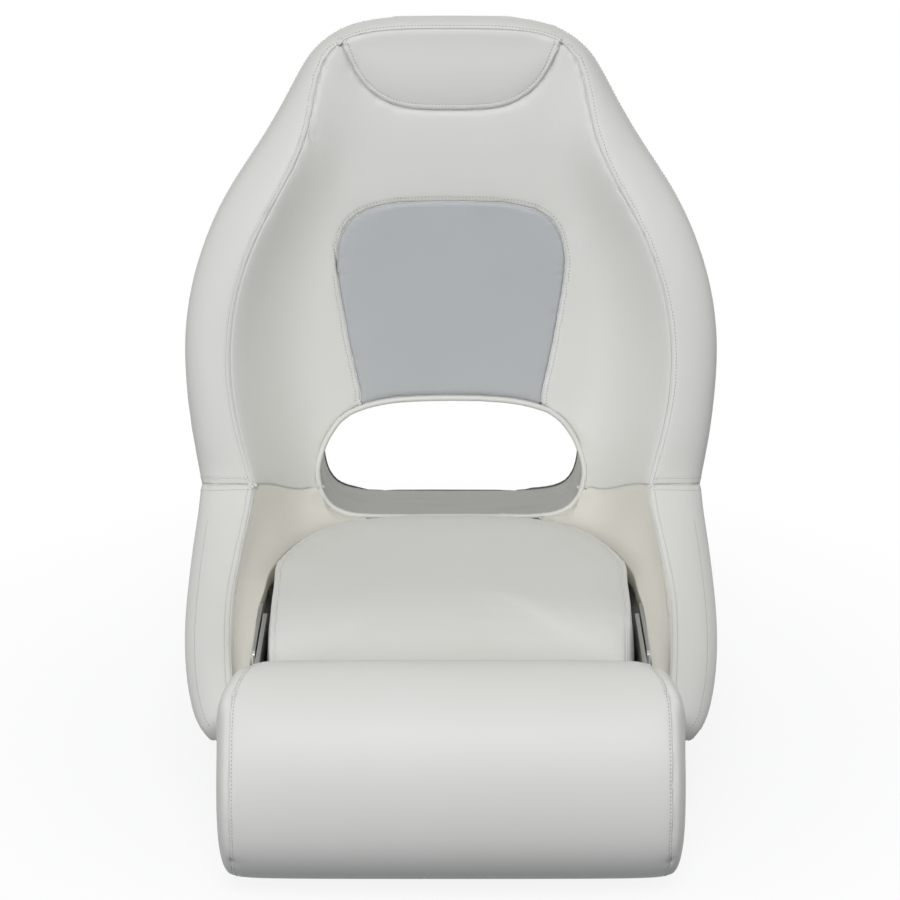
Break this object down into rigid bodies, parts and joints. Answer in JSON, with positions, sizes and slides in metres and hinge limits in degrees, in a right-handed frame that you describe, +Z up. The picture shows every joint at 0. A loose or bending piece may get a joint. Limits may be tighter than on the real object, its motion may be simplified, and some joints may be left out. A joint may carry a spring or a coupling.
{
  "type": "bucket boat seat",
  "caption": "White upholstered bucket helm seat with a waist opening in the back and a front thigh bolster that flips up.",
  "frame": {"origin": "centre of the flat underside of the moulded base, midway between its bolt inserts", "axes": "+X to the right of someone looking at the front, +Y to the rear, +Z up"},
  "size_m": [0.578, 0.6581, 0.7384],
  "materials": {
    "white_vinyl": "satin",
    "grey_vinyl": "satin",
    "moulded_plastic": "matte",
    "stainless_steel": "brushed",
    "nylon": "matte",
    "plywood": "matte",
    "brass": "satin"
  },
  "bodies": {
    "seat": {"rear_cover": "white_vinyl", "right_side_cover": "white_vinyl", "left_side_cover": "white_vinyl", "wing_pad": "white_vinyl", "right_side_pad": "white_vinyl", "left_side_pad": "white_vinyl", "back_pad": "white_vinyl", "headrest_pad": "white_vinyl", "hip_pad": "white_vinyl", "opening_trim": "white_vinyl", "seat_cushion": "white_vinyl", "back_insert": "grey_vinyl", "seat_shell": "moulded_plastic", "cushion_screw_1": "stainless_steel", "cushion_screw_2": "stainless_steel", "cushion_screw_3": "stainless_steel", "cushion_screw_4": "stainless_steel", "right_hinge_bracket": "stainless_steel", "left_hinge_bracket": "stainless_steel", "right_bracket_bolt_1": "stainless_steel", "left_bracket_bolt_1": "stainless_steel", "right_bracket_bolt_2": "stainless_steel", "left_bracket_bolt_2": "stainless_steel", "right_bracket_bolt_3": "stainless_steel", "left_bracket_bolt_3": "stainless_steel", "right_pivot_bolt": "stainless_steel", "left_pivot_bolt": "stainless_steel", "right_pivot_nut": "stainless_steel", "left_pivot_nut": "stainless_steel", "right_pivot_washer": "nylon", "left_pivot_washer": "nylon", "cushion_board": "plywood", "base_insert_1": "brass", "base_insert_2": "brass", "base_insert_3": "brass", "base_insert_4": "brass"},
    "bolster": {"right_bolster_arm": "stainless_steel", "left_bolster_arm": "stainless_steel", "right_stop_pin": "stainless_steel", "left_stop_pin": "stainless_steel", "bolster_pad": "white_vinyl", "right_bolster_end": "white_vinyl", "left_bolster_end": "white_vinyl", "bolster_board": "plywood", "right_arm_screw_1": "stainless_steel", "left_arm_screw_1": "stainless_steel", "right_arm_screw_2": "stainless_steel", "left_arm_screw_2": "stainless_steel", "right_arm_screw_3": "stainless_steel", "left_arm_screw_3": "stainless_steel"}
  },
  "joints": [
    {"name": "bolster_flip", "type": "hinge", "parent": "seat", "child": "bolster", "pos_m": [0, -0.13, 0.103], "axis": [-1, 0, 0], "range_deg": [0, 90]}
  ]
}
